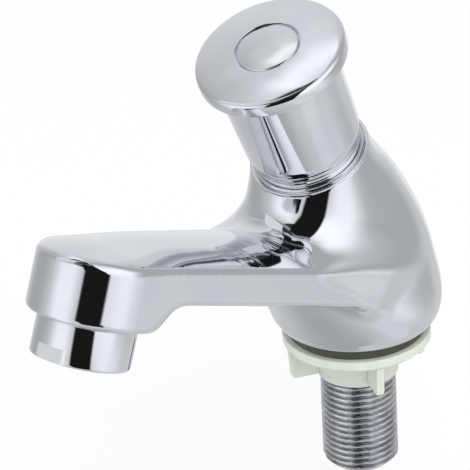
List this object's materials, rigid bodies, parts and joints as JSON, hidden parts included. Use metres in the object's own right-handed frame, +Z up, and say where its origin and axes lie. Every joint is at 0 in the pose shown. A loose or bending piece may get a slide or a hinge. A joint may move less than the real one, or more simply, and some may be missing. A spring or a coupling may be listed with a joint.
{
  "type": "push timed tap",
  "caption": "Deck-mounted basin tap with a leaning neck, a push button that returns by itself, a flat upswept spout with an aerator, and a threaded shank with a wing backnut.",
  "frame": {"origin": "centre of the shank's axis on the deck plane: the lower face of the rubber gasket, where the top of the basin deck goes", "axes": "+Z up along the shank's axis, -Y towards the spout's tip, +X to the tap's left side as seen by the user who faces the spout"},
  "size_m": [0.0476, 0.1443, 0.1433],
  "materials": {
    "body_chrome": "polished chromium plate on cast brass",
    "cap_chrome": "polished chromium plate",
    "disc_chrome": "satin centre, bare",
    "collar_chrome": "polished chromium plate, turned lines",
    "ring_chrome": "polished chromium plate",
    "shank_metal": "dull nickel plate on brass",
    "gasket_rubber": "matt dark olive grey",
    "nut_plastic": "cream, slightly translucent",
    "washer_plastic": "white fibre-like plastic",
    "strainer_plastic": "blue-grey moulded plastic",
    "brass": "machined brass",
    "white_plastic": "white acetal",
    "stainless": "stainless steel",
    "seal_rubber": "black rubber",
    "grid_plastic": "grey moulded plastic"
  },
  "bodies": {
    "tap_body": {"body_casting": "body_chrome", "inlet_shank": "shank_metal", "shank_o_ring": "seal_rubber", "inlet_strainer": "strainer_plastic", "base_gasket": "gasket_rubber", "cartridge_housing": "brass", "nose_o_ring": "seal_rubber", "flange_o_ring": "seal_rubber", "timing_needle": "stainless", "neck_bonnet": "collar_chrome", "bonnet_o_ring": "seal_rubber", "guide_bush": "white_plastic", "stem_o_ring": "seal_rubber", "return_spring": "stainless", "aerator_housing": "ring_chrome", "aerator_seal": "seal_rubber", "aerator_insert": "white_plastic", "flow_regulator": "seal_rubber", "aerator_screen": "stainless", "outlet_grid": "grid_plastic"},
    "push_button": {"push_cap": "cap_chrome", "cap_disc": "disc_chrome", "cap_screw": "stainless", "plunger_stem": "brass", "stem_clip": "stainless", "piston": "white_plastic", "piston_cup_seal": "seal_rubber", "valve_washer": "seal_rubber", "washer_holder": "brass", "lock_nut": "brass"},
    "nut_carrier": {"slip_washer": "washer_plastic"},
    "wing_nut": {"backnut": "nut_plastic"}
  },
  "joints": [
    {"name": "button_press", "type": "slide", "parent": "tap_body", "child": "push_button", "axis": [0, 0.3827, -0.9239], "range_m": [0, 0.0038], "stiffness_N_per_m": 1500, "springref_m": -0.006, "deforming": ["return_spring"]},
    {"name": "backnut_travel", "type": "slide", "parent": "tap_body", "child": "nut_carrier", "axis": [0, 0, -1], "range_m": [0, 0.0381]},
    {"name": "backnut_turn", "type": "hinge", "parent": "nut_carrier", "child": "wing_nut", "pos_m": [0, 0, 0], "axis": [0, 0, -1], "range_deg": [0, 7560]}
  ],
  "couplings": [
    {"joint": "backnut_travel", "follows": "backnut_turn", "m_per_rad": 0.00028871}
  ]
}
